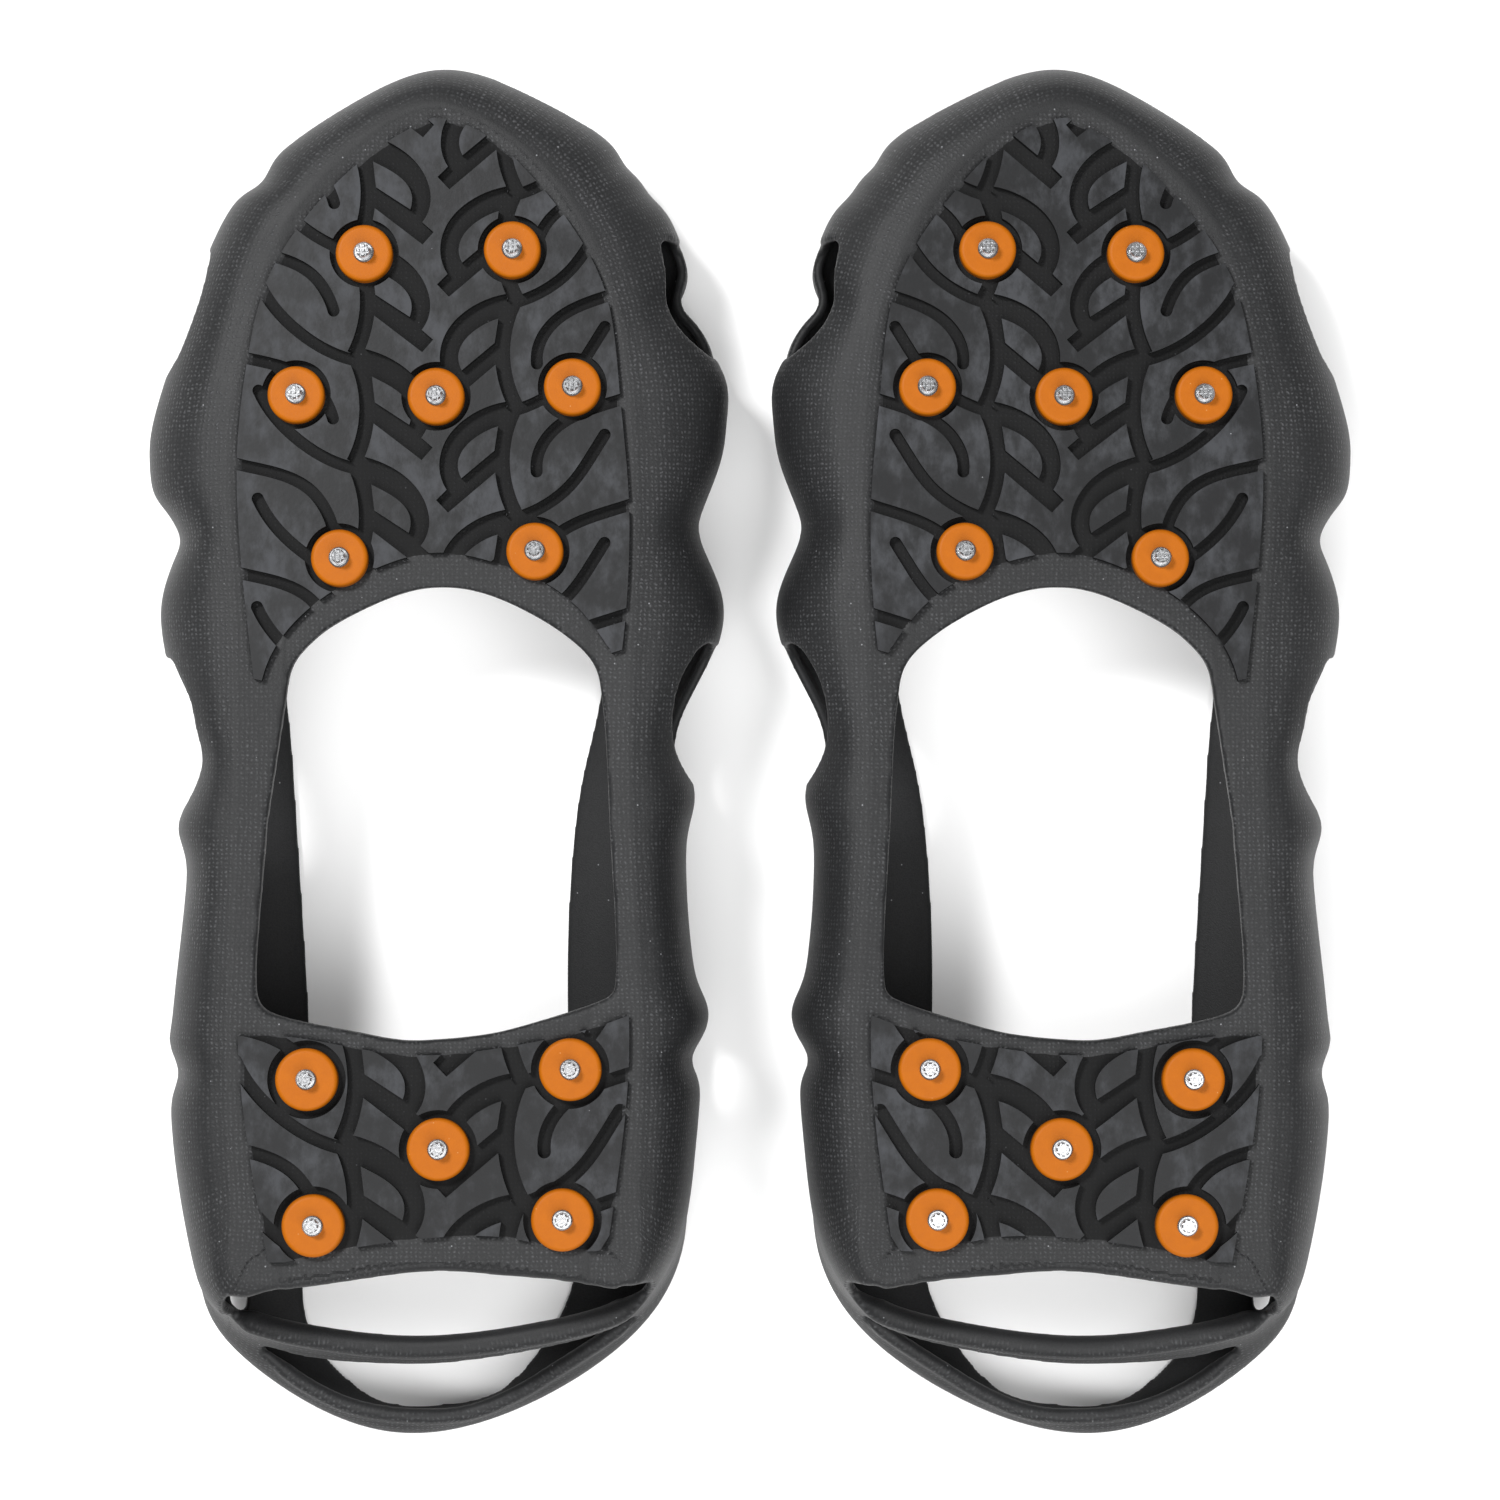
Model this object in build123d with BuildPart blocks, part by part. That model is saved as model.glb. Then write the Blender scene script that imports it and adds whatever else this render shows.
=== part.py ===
from build123d import *
import os
from math import cos, hypot, radians, sin

os.makedirs("parts", exist_ok=True)

# A pair of rubber overshoe ice cleats, lying sole up: +Y to the toes, +Z up, the open rim on the floor at Z = 0.
# The left cleat is drawn about its own centre line and the right one is its mirror image about X = 0.

# Driving dimensions, in mm
CENTRE_X = -59.0      # the left cleat's centre line
SOLE_Z = 43.5         # outer face of the web at Y = 0
SOLE_SLOPE = 0.065    # the web drops this much per mm towards the toes
WALL = 2.6            # side wall
WEB = 3.0             # web under the studs
RIM = 2.2             # width of the rim's flat edge, which rests on the floor
WIDEST_AT = 0.58      # share of the height where the wall bulges most
LIP_AT = 0.18         # share of the height where the wall turns in to the rim
HEEL_SPLIT_Y = -48.0  # the heel piece ends here
TOE_SPLIT_Y = 8.0     # the forefoot piece starts here
PAD = 0.5             # sheet under the lugs
LUG = 2.0             # height of the lugs over the pad
PITCH = 20.8          # the tread pattern repeats after this much of Y
HEEL_PATTERN = 1.10   # the heel has the same pattern, enlarged
FORE_STUD_R = 5.45
HEEL_STUD_R = 5.95
STUD_H = 3.0          # a stud base over the pad
STUD_EDGE = 0.9       # rounding of its top edge
NECK_R = 2.4
NECK_GAP = 0.1
FLANGE_R = 4.5        # inner flange that holds the base in the web
FLANGE_H = 1.5
PIN_R = 1.3
COLLAR_R = 1.95
COLLAR_H = 0.8
TIP_H = 2.3
HEAD_R = 2.3
HEAD_H = 0.8
FORE_CLEAR = 1.2      # bare ring round a stud base
HEEL_CLEAR = 1.5

# Stud centres on the left cleat, from its own centre line
fore_studs = [(-15.0, 95.3), (13.4, 96.0), (-27.9, 68.0), (-1.1, 67.7), (25.0, 69.5), (-19.4, 36.6), (17.9, 37.9)]
heel_studs = [(-25.1, -62.8), (24.9, -60.9), (-0.1, -76.0), (-23.7, -90.4), (23.5, -89.3)]

# Outlines of the wall, all walked the same way: toe, little-toe side, heel, big-toe side
edge_of_sole = [
    (-1, 124.5), (-12, 120.5), (-22, 112), (-31, 100.5), (-37, 84), (-40.5, 67), (-41.3, 55),
    (-41, 41), (-40, 27), (-39.5, 7), (-39.5, -9), (-40, -32), (-40.5, -56), (-40, -76),
    (-38.5, -91), (-35, -99), (-20, -99.5), (-1, -97.5), (20, -99.5), (34, -98),
    (37, -89), (38, -76), (38.5, -56), (37.5, -32), (36.5, -9), (36.5, 7), (37, 27),
    (37.5, 43), (37, 60), (35, 80), (29, 98), (21, 110.5), (11, 119.5),
]
widest = [
    (-1, 132.5), (-18, 127), (-32, 116), (-43, 102.5), (-50.5, 84), (-56, 67), (-56.8, 55),
    (-52.6, 41), (-55.6, 27), (-51.5, 7), (-49.3, -9), (-51, -32), (-53.3, -56), (-53, -78),
    (-49, -97), (-40, -109.5), (-22, -115), (-1, -116.5), (21, -113.5), (37, -107.5),
    (46, -94), (49.5, -76), (49.8, -56), (47, -32), (45.5, -9), (47.5, 7), (53.6, 27),
    (49.3, 43), (54, 60), (49.5, 82), (42, 102), (31, 117), (16, 127.5),
]
lip = [
    (-1, 127), (-17, 121.5), (-30, 110.5), (-40.5, 97), (-47, 80), (-51, 64), (-52, 51),
    (-50, 39), (-50, 24), (-47.5, 5), (-46.5, -11), (-45.5, -34), (-46.5, -60), (-47.5, -84),
    (-46, -104), (-39, -119), (-21, -130), (-1, -133.2), (18, -125.5), (34.5, -114),
    (43, -100), (44.5, -84), (43.5, -60), (41.5, -34), (42, -11), (44, 5), (48, 24),
    (48, 40), (49.5, 56), (46, 76), (39.5, 96), (29, 110.5), (15, 121.5),
]
mouth = [
    (-1, 110), (-13, 106), (-23, 98), (-30, 86), (-34, 70), (-36, 56), (-36, 44),
    (-35.3, 33), (-34.5, 21), (-33, 5), (-31.8, -11), (-30.2, -36), (-29, -60), (-29.5, -84),
    (-30, -104), (-27.5, -117), (-17, -126.5), (-2, -129.5), (10, -125.5), (20, -114.5),
    (23.5, -103), (23.5, -84), (22.5, -60), (22.5, -36), (24.5, -11), (28, 5), (30, 19),
    (31.3, 32), (32.5, 46), (31.5, 64), (27.5, 84), (21, 97), (12, 105.5),
]


def inset(outline, by):
    """The outline moved inwards by the amount, point by point along its own normals."""
    moved = []
    for i, (x, y) in enumerate(outline):
        before = outline[i - 1]
        after = outline[(i + 1) % len(outline)]
        along = (after[0] - before[0], after[1] - before[1])
        length = hypot(along[0], along[1])
        moved.append((x - along[1] / length * by, y + along[0] / length * by))
    return moved


def between(first, second, share):
    """Points the given share of the way from one outline to another."""
    return [(a + (c - a) * share, b + (d - b) * share) for (a, b), (c, d) in zip(first, second)]


def level(share, drop=0.0):
    """A plane at a share of the height: flat at the floor, tilted with the sole at the top."""
    tilted = Plane(origin=(CENTRE_X, 0, SOLE_Z * share), x_dir=(1, 0, 0), z_dir=(0, SOLE_SLOPE * share, 1))
    return tilted.offset(-drop)


def over_web(height):
    """A plane parallel to the sole, this far over the web's outer face."""
    return level(1.0, -height)


# The shoulder is a quarter ellipse from the sole's edge to the widest line. Each section of the skin is an
# outline, its share of the height and how far it lies under that level; the hollow is the same, a wall smaller.
SHOULDER = ((35, 1.8, 1.9), (65, 2.45, 0.9))
belly = inset(between(widest, lip, 0.35), -0.3)
BELLY_AT = 0.37

skin = [(edge_of_sole, 1.0, 0.0)]
hollow = [(inset(edge_of_sole, 1.0), 1.0, WEB)]
for angle, inwards, down in SHOULDER:
    outline = between(edge_of_sole, widest, sin(radians(angle)))
    share = WIDEST_AT + (1 - WIDEST_AT) * cos(radians(angle))
    skin.append((outline, share, 0.0))
    hollow.append((inset(outline, inwards), share, down))
skin += [(widest, WIDEST_AT, 0.0), (belly, BELLY_AT, 0.0), (lip, LIP_AT, 0.0), (inset(mouth, -RIM), 0.0, 0.0)]
hollow += [
    (inset(widest, WALL), WIDEST_AT, 0.0),
    (inset(belly, WALL), BELLY_AT, 0.0),
    (inset(lip, 2.2), LIP_AT, -1.3),
    (mouth, 0.0, 0.01),
]

with BuildPart() as outside:
    for outline, share, drop in skin:
        with BuildSketch(level(share, drop)):
            with BuildLine():
                Spline(*outline, periodic=True)
            make_face()
    loft()

with BuildPart() as inside:
    for outline, share, drop in hollow:
        with BuildSketch(level(share, drop)):
            with BuildLine():
                Spline(*outline, periodic=True)
            make_face()
    loft()

# Windows in the side walls: middle along Y, middle height, length, height. Both sides have the same row.
side_windows = [(84, 21.5, 30, 24), (41, 16.5, 13, 13), (4.5, 24, 32, 25), (-61, 18, 13, 14)]
WINDOW_CORNER = 6.0
# Toe windows: middle along X, middle height, width, height
toe_windows = [(-22, 17.5, 24, 15), (18.5, 17.5, 22, 15)]

# Gaps behind the heel, seen from above: the loop that grips the heel lies between them
first_gap_front = [(-41, -104), (-33, -101.8), (-20, -99.8), (-1, -97.4), (13, -98.3), (26, -99.4), (41, -101.5)]
first_gap_back = [(39, -105.5), (21, -110.9), (10, -112.5), (-5, -113.4), (-19, -114.4), (-30, -112.8), (-39, -109.5)]
second_gap_front = [(-36.5, -116.8), (-23, -118.7), (-5, -119.2), (3, -118.6), (17.5, -116.3), (30, -113.2), (37, -110.2)]
second_gap_back = [(36.5, -111.5), (28, -117), (14, -125), (-1, -129.5), (-18, -127.5), (-28, -123), (-36, -118)]
FIRST_GAP_Z = 28.0
SECOND_GAP_Z = 10.0

LOOP_R = 2.5
loop_path = [(CENTRE_X - 41.5, -107.5, 27.5), (CENTRE_X - 24, -115.4, 29), (CENTRE_X - 2, -116.2, 29.2),
             (CENTRE_X + 20, -113.4, 29), (CENTRE_X + 40.5, -105, 27.5)]
loop_start = (0.82, -0.57, 0.05)

# The opening under the arch of the foot
arch_front = [(-30, 8), (-28.4, 16.2), (-19.1, 24.8), (-8.7, 29.6), (-2.8, 31), (3.9, 30.9), (11.6, 28.7),
              (23.4, 22.1), (29.2, 16.2), (30.9, 8)]
arch_right = [(30.9, 8), (32.2, -14), (33.4, -44)]
arch_back = [(30, -48), (17.3, -52.1), (9.7, -54), (-1.7, -55.2), (-7.4, -55.2), (-15.9, -53.7), (-31, -50.5)]
arch_left = [(-35, -46), (-33.2, -14), (-30, 8)]

with BuildPart() as harness:
    add(outside.part)
    add(inside.part, mode=Mode.SUBTRACT)
    # Side windows, cut straight across both walls and clear of the web
    for middle, height, length, tall in side_windows:
        with BuildSketch(Plane.YZ.offset(CENTRE_X)):
            with Locations((middle, height)):
                RectangleRounded(length, tall, min(WINDOW_CORNER, tall / 2 - 0.5))
        extrude(amount=70, both=True, mode=Mode.SUBTRACT)
    # Toe windows
    for middle, height, width, tall in toe_windows:
        with BuildSketch(Plane.XZ.offset(-85)):
            with Locations((CENTRE_X + middle, height)):
                RectangleRounded(width, tall, WINDOW_CORNER)
        extrude(amount=-60, mode=Mode.SUBTRACT)
    # Gap between the sole's back edge and the heel loop
    with BuildSketch(Plane((CENTRE_X, 0, FIRST_GAP_Z))):
        with BuildLine():
            Spline(*first_gap_front)
            Line(first_gap_front[-1], first_gap_back[0])
            Spline(*first_gap_back)
            Line(first_gap_back[-1], first_gap_front[0])
        make_face()
    extrude(amount=40, mode=Mode.SUBTRACT)
    # Gap between the heel loop and the rim
    with BuildSketch(Plane((CENTRE_X, 0, SECOND_GAP_Z))):
        with BuildLine():
            Spline(*second_gap_front)
            Line(second_gap_front[-1], second_gap_back[0])
            Spline(*second_gap_back)
            Line(second_gap_back[-1], second_gap_front[0])
        make_face()
    extrude(amount=40, mode=Mode.SUBTRACT)
    # The heel loop is thicker than the wall: a round bar along what is left between the two gaps
    with BuildLine():
        Spline(*loop_path)
    with BuildSketch(Plane(origin=loop_path[0], x_dir=(0, 0, 1), z_dir=loop_start)):
        Circle(LOOP_R)
    sweep()
    # Arch opening, through the web only
    with BuildSketch(over_web(10)):
        with BuildLine():
            Spline(*arch_front)
            Spline(*arch_right)
            RadiusArc(arch_right[-1], arch_back[0], 4)
            Spline(*arch_back)
            RadiusArc(arch_back[-1], arch_left[0], 5)
            Spline(*arch_left)
        make_face()
    extrude(amount=-22, mode=Mode.SUBTRACT)
    # Holes for the stud necks
    with BuildSketch(over_web(5)):
        with Locations(*fore_studs, *heel_studs):
            Circle(NECK_R + NECK_GAP)
    extrude(amount=-12, mode=Mode.SUBTRACT)

# One period of the tread, in mm at the forefoot's size. The grooves are centre lines with a width, and the two
# hooks round the small lugs are outlines. Everything repeats along Y and is trimmed to the tread's edge.
WAVE_W = 2.9
GROOVE_W = 2.3
outer_wave = [(-16.8, 54.9), (-14.3, 65.3), (-16.8, 75.7)]
inner_wave = [(14.2, 45.0), (11.6, 55.4), (14.2, 65.8)]
outer_groove = [(-35.1, 48.0), (-31.5, 42.4), (-27.2, 38.3), (-22.5, 35.2), (-16.5, 33.0)]
outer_slot = [(-42, 55.5), (-34, 53.5), (-29, 52.0), (-25, 49.6), (-22.3, 46.2), (-20.8, 42.6)]
inner_groove = [(14.0, 44.2), (20.0, 46.8), (24.5, 50.4), (27.8, 54.8), (31.2, 60.3)]
inner_slot = [(38, 47.5), (32.5, 45.7), (27, 43.8), (22.5, 41.3), (19.3, 37.6), (18.2, 32.4)]

with BuildSketch() as grooves:
    for centre_line in (outer_wave, inner_wave):
        with BuildLine() as wave:
            ThreePointArc(*centre_line)
        trace(wave.line, line_width=WAVE_W)
    for centre_line in (outer_groove, outer_slot, inner_groove, inner_slot):
        with BuildLine() as groove:
            Spline(*centre_line)
        trace(groove.line, line_width=GROOVE_W)
    # Round ends of the grooves that stop inside the land
    with Locations(outer_groove[0], outer_slot[-1], inner_groove[-1], inner_slot[-1]):
        Circle(GROOVE_W / 2)
    # Hook round the small lug by the outer wave, with its square notch
    with BuildLine():
        Spline((-15.6, 56.2), (-9, 53.7), (-4, 49), (-2.3, 44), (-3.9, 38.9))
        Polyline((-3.9, 38.9), (-1.7, 37.0), (-3.8, 34.6), (-13.2, 41.8), (-15.6, 56.2))
    make_face()
    # Hook round the small lug by the inner wave
    with BuildLine():
        Spline((12.6, 66.7), (5, 63.7), (0.6, 58.8), (-0.4, 55), (1, 49.7))
        Polyline((1, 49.7), (-1, 47.7), (1.3, 45.3), (10.4, 53.1), (12.6, 66.7))
    make_face()

with BuildSketch() as small_lugs:
    with BuildLine():
        Spline((-13.4, 50.7), (-10, 48.9), (-6.6, 45.9), (-6.2, 41.4))
        Polyline((-6.2, 41.4), (-12.8, 45.7), (-13.4, 50.7))
    make_face()
    with BuildLine():
        Spline((10.8, 61.9), (6.4, 59.7), (3.4, 56), (3.8, 51.9))
        Polyline((3.8, 51.9), (10.1, 57.2), (10.8, 61.9))
    make_face()

fore_edge_outer = [(-2, 121.6), (-13.2, 115.2), (-26, 102.6), (-33.6, 90), (-37, 76.5), (-39.1, 57), (-38.4, 38),
                   (-35.6, 13)]
fore_edge_arch = [(-34.1, 13), (-30.2, 21.6), (-22.8, 28.8), (-12, 34.8), (-1, 37.6), (10, 35.8), (23.8, 29.2),
                  (30, 22.4), (32.6, 18.4)]
fore_edge_inner = [(34.6, 19), (35.8, 34), (35.8, 49), (34, 69), (30.9, 89), (27, 97.2), (18.5, 108.7), (4.5, 120.2),
                   (-2, 121.6)]
heel_edge_front = [(36, -50.6), (24, -54.4), (14, -56.4), (2, -58), (-8, -58), (-17, -56.6), (-38.2, -54.6)]
heel_edge_outer = [(-38.2, -54.6), (-37.4, -66), (-35.4, -80), (-32.2, -97.3)]
heel_edge_back = [(-29, -97.3), (-15, -94.4), (0, -92.6), (14, -92.8), (27, -95.2), (32, -94.8)]
heel_edge_inner = [(32, -94.8), (34.4, -78), (35.8, -64), (36, -50.6)]

with BuildSketch() as fore_land:
    with BuildLine():
        Spline(*fore_edge_outer)
        Line(fore_edge_outer[-1], fore_edge_arch[0])
        Spline(*fore_edge_arch)
        Line(fore_edge_arch[-1], fore_edge_inner[0])
        Spline(*fore_edge_inner)
    make_face()

with BuildSketch() as heel_land:
    with BuildLine():
        Spline(*heel_edge_front)
        Spline(*heel_edge_outer)
        Line(heel_edge_outer[-1], heel_edge_back[0])
        Spline(*heel_edge_back)
        Spline(*heel_edge_inner)
    make_face()


# The forefoot shows the pattern five times and the heel three times, enlarged about its own start
HEEL_SHIFT = -75 - HEEL_PATTERN * 54.5

with BuildPart() as fore_tread:
    with BuildSketch(over_web(0)):
        add(fore_land.sketch)
        with Locations(*fore_studs):
            Circle(NECK_R + NECK_GAP, mode=Mode.SUBTRACT)
    extrude(amount=PAD)
    with BuildSketch(over_web(PAD)):
        Rectangle(110, 300)
        with Locations(*[(0, PITCH * k) for k in range(-2, 5)]):
            add(grooves.sketch, mode=Mode.SUBTRACT)
            add(small_lugs.sketch)
        add(fore_land.sketch, mode=Mode.INTERSECT)
        with Locations(*fore_studs):
            Circle(FORE_STUD_R + FORE_CLEAR, mode=Mode.SUBTRACT)
    extrude(amount=LUG)

heel_grooves = scale(grooves.sketch, by=HEEL_PATTERN)
heel_lugs = scale(small_lugs.sketch, by=HEEL_PATTERN)

with BuildPart() as heel_tread:
    with BuildSketch(over_web(0)):
        add(heel_land.sketch)
        with Locations(*heel_studs):
            Circle(NECK_R + NECK_GAP, mode=Mode.SUBTRACT)
    extrude(amount=PAD)
    with BuildSketch(over_web(PAD)):
        Rectangle(110, 300)
        with Locations(*[(0, HEEL_SHIFT + PITCH * HEEL_PATTERN * k) for k in range(-2, 3)]):
            add(heel_grooves, mode=Mode.SUBTRACT)
            add(heel_lugs)
        add(heel_land.sketch, mode=Mode.INTERSECT)
        with Locations(*heel_studs):
            Circle(HEEL_STUD_R + HEEL_CLEAR, mode=Mode.SUBTRACT)
    extrude(amount=LUG)

# Stud bases: a disc on the pad, a neck through the web and a flange inside, hollow for the pin
UNDER_WEB = -(PAD + WEB)
UNDER_FLANGE = UNDER_WEB - FLANGE_H
stud_bases = []
for radius in (FORE_STUD_R, HEEL_STUD_R):
    rounding = STUD_EDGE * (1 - cos(radians(45)))
    with BuildPart() as base:
        with BuildSketch(Plane.XZ):
            with BuildLine():
                Line((PIN_R, STUD_H), (radius - STUD_EDGE, STUD_H))
                ThreePointArc(
                    (radius - STUD_EDGE, STUD_H), (radius - rounding, STUD_H - rounding), (radius, STUD_H - STUD_EDGE)
                )
                Polyline(
                    (radius, STUD_H - STUD_EDGE), (radius, 0), (NECK_R, 0), (NECK_R, UNDER_WEB), (FLANGE_R, UNDER_WEB),
                    (FLANGE_R, UNDER_FLANGE), (HEAD_R, UNDER_FLANGE), (HEAD_R, UNDER_FLANGE + HEAD_H),
                    (PIN_R, UNDER_FLANGE + HEAD_H), (PIN_R, STUD_H),
                )
            make_face()
        revolve(axis=Axis.Z)
    stud_bases.append(base.part)

# Steel pin: head inside the flange, collar on the disc and a tip with a crossed face
TIP_TOP = STUD_H + COLLAR_H + TIP_H
TIP_EDGE = 0.25
CROSS_W = 0.35
CROSS_DEEP = 0.4
CROSS_PITCH = 0.9
with BuildPart() as pin:
    with BuildSketch(Plane.XZ):
        with BuildLine():
            Polyline(
                (0, UNDER_FLANGE), (HEAD_R, UNDER_FLANGE), (HEAD_R, UNDER_FLANGE + HEAD_H),
                (PIN_R, UNDER_FLANGE + HEAD_H), (PIN_R, STUD_H), (COLLAR_R, STUD_H),
                (COLLAR_R, STUD_H + COLLAR_H - TIP_EDGE), (COLLAR_R - TIP_EDGE, STUD_H + COLLAR_H),
                (PIN_R, STUD_H + COLLAR_H), (PIN_R, TIP_TOP - TIP_EDGE), (PIN_R - TIP_EDGE, TIP_TOP), (0, TIP_TOP),
                (0, UNDER_FLANGE),
            )
        make_face()
    revolve(axis=Axis.Z)
    with BuildSketch(Plane.XY.offset(TIP_TOP)):
        with Locations((0, -CROSS_PITCH / 2), (0, CROSS_PITCH / 2)):
            Rectangle(4 * PIN_R, CROSS_W)
        with Locations((-CROSS_PITCH / 2, 0), (CROSS_PITCH / 2, 0)):
            Rectangle(CROSS_W, 4 * PIN_R)
    extrude(amount=-CROSS_DEEP, mode=Mode.SUBTRACT)

# The harness is one moulding. It is cut in three so that the stretch between toe and heel can be shown.
with BuildPart() as forefoot_harness:
    add(harness.part)
    split(bisect_by=Plane.XZ.offset(-TOE_SPLIT_Y), keep=Keep.BOTTOM)

with BuildPart() as heel_harness:
    add(harness.part)
    split(bisect_by=Plane.XZ.offset(-HEEL_SPLIT_Y), keep=Keep.TOP)

rails = []
for keep in (Keep.BOTTOM, Keep.TOP):
    with BuildPart() as rail:
        add(harness.part)
        split(bisect_by=Plane.XZ.offset(-TOE_SPLIT_Y), keep=Keep.TOP)
        split(bisect_by=Plane.XZ.offset(-HEEL_SPLIT_Y), keep=Keep.BOTTOM)
        split(bisect_by=Plane.YZ.offset(CENTRE_X), keep=keep)
    rails.append(rail.part)

nodes = {
    "forefoot_harness": forefoot_harness.part,
    "outer_rail": rails[0],
    "inner_rail": rails[1],
    "heel_harness": heel_harness.part,
    "forefoot_tread": fore_tread.part,
    "heel_tread": heel_tread.part,
}
on_pad = over_web(PAD).location
for region, centres, stud_base in (("forefoot", fore_studs, stud_bases[0]), ("heel", heel_studs, stud_bases[1])):
    for number, (x, y) in enumerate(centres, start=1):
        place = on_pad * Location((x, y, 0))
        nodes[f"{region}_stud_{number}_base"] = stud_base.moved(place)
        nodes[f"{region}_stud_{number}_pin"] = pin.part.moved(place)

# The origin is midway along the pair's length, so everything moves by half the difference between its two ends
extent = harness.part.bounding_box()
to_middle = Location((0, -(extent.min.Y + extent.max.Y) / 2, 0))

for name, solid in nodes.items():
    left = solid.moved(to_middle)
    for side, shape in (("left", left), ("right", mirror(left, about=Plane.YZ))):
        shape.label = f"{side}_{name}"
        export_step(shape, f"parts/{side}_{name}.step")
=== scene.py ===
import math
import bmesh
import bpy
import numpy as np
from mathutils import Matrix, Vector
from mathutils.bvhtree import BVHTree
from mathutils.kdtree import KDTree


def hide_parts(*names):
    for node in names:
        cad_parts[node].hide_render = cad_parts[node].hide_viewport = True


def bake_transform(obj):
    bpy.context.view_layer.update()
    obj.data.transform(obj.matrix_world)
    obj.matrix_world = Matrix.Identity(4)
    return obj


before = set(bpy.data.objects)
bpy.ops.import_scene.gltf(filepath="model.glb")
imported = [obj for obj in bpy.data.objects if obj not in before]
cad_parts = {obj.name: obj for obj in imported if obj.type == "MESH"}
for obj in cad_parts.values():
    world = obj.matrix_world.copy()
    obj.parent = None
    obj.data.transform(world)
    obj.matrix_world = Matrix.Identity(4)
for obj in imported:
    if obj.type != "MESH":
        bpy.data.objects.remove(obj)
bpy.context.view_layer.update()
MM = 0.001

# ---------------------------------------------------------------- camera: straight down on the soles
CAMERA_Z = 0.946
SHIFT_Y = 1.44        # the cleats' own y = 0 lies this far from the row frame's, mm
cam_data = bpy.data.cameras.new("camera")
cam_data.sensor_width = 36.0
cam_data.lens = 113.4
cam_data.clip_start = 0.05
cam_data.clip_end = 10.0
camera = bpy.data.objects.new("camera", cam_data)
bpy.context.collection.objects.link(camera)
camera.location = (0.0, SHIFT_Y * MM, CAMERA_Z)
bpy.context.scene.camera = camera

# ---------------------------------------------------------------- the left cleat's shape, mm
CENTRE_X = -59.0
SOLE_Z = 43.5         # the web's outer face at y = 0
SLOPE = 0.065         # the web drops this much per mm towards the toes
WIDEST_AT = 0.58      # heights of the widest line, the belly and the lip, as shares of the web's height
BELLY_AT = 0.37
LIP_AT = 0.18
BELLY_TO_LIP = 0.35   # the belly's outline lies this share of the way from the widest line's to the lip's
BELLY_OUT = 0.3
RIM_OUT = 0.6
RIM_Z = -0.1
WALL = 1.9            # thicknesses
WEB = 3.7             # thick enough for the studs' flanges to bear on its inner face
WEB_EASE_ROWS = 12    # rows over which the web's thickness goes over to the wall's

# Four outlines, from the cleat's own centre line. All are walked the same way: toe, little-toe side, heel,
# big-toe side.
edge_of_sole = [
    (-1, 124.5), (-12, 120.5), (-22, 112), (-31, 100.5), (-37, 84), (-40.5, 67), (-41.3, 55),
    (-41, 41), (-40, 27), (-39.5, 7), (-39.5, -9), (-40, -32), (-40.5, -56), (-40, -76),
    (-39.5, -91), (-37.5, -100.5), (-20, -99.5), (-1, -97.5), (20, -99.5), (36, -100),
    (38, -89), (38, -76), (38.5, -56), (37.5, -32), (36.5, -9), (36.5, 7), (37, 27),
    (37.5, 43), (37, 60), (35, 80), (29, 98), (21, 110.5), (11, 119.5),
]
widest = [
    (-1, 133), (-18, 126.7), (-32.8, 116.7), (-44, 103.2), (-51.2, 84.3), (-56.6, 67.2), (-57.5, 54),
    (-52.7, 41), (-55.9, 27), (-51.8, 7), (-49.6, -9), (-51, -32), (-53.3, -56), (-52.6, -78),
    (-49.2, -97.5), (-42, -109.8), (-22, -115.2), (-1, -116.5), (21, -113.5), (37.5, -107.5),
    (45.8, -94), (48.6, -76), (49.4, -56), (47, -32), (46.4, -9), (47.7, 7), (53.9, 27),
    (49.3, 43), (54, 60), (50, 82.4), (43.8, 103.2), (32.4, 118.2), (16.5, 127.8),
]
lip = [
    (-1, 127), (-17, 121.5), (-30, 110.5), (-40.5, 97), (-47, 80), (-51, 64), (-52, 51),
    (-50.5, 39), (-56.3, 23.5), (-47.3, 5), (-46.5, -11), (-45.5, -34), (-46.5, -60), (-47.5, -84),
    (-48.9, -104.5), (-42.8, -119), (-24, -131.8), (-3, -135.2), (19, -127.8), (36.2, -115.4),
    (44.4, -100.5), (44.5, -84), (43.5, -60), (41.5, -34), (42, -11), (42.6, 5.5), (51.5, 23.5),
    (47.2, 41), (49.8, 56), (51.5, 76.5), (44.8, 97), (32, 111.5), (15, 121.5),
]
mouth = [
    (-1, 110), (-13, 106), (-23, 98), (-30, 86), (-34, 70), (-36, 56), (-36, 44),
    (-35.3, 33), (-34.5, 21), (-33, 5), (-31.8, -11), (-30.2, -36), (-29, -60), (-29.5, -84),
    (-30.3, -105), (-27.7, -118.8), (-16.2, -130.4), (-3, -132), (9, -129), (18.5, -117.6),
    (24, -103.5), (23.5, -84), (22.5, -60), (22.5, -36), (24.5, -11), (28, 5), (30, 19),
    (31.3, 32), (32.5, 46), (31.5, 64), (27.5, 84), (21, 97), (12, 105.5),
]
AROUND = 396          # points round each outline of the skin
ROWS_PER_SPAN = 5


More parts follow.
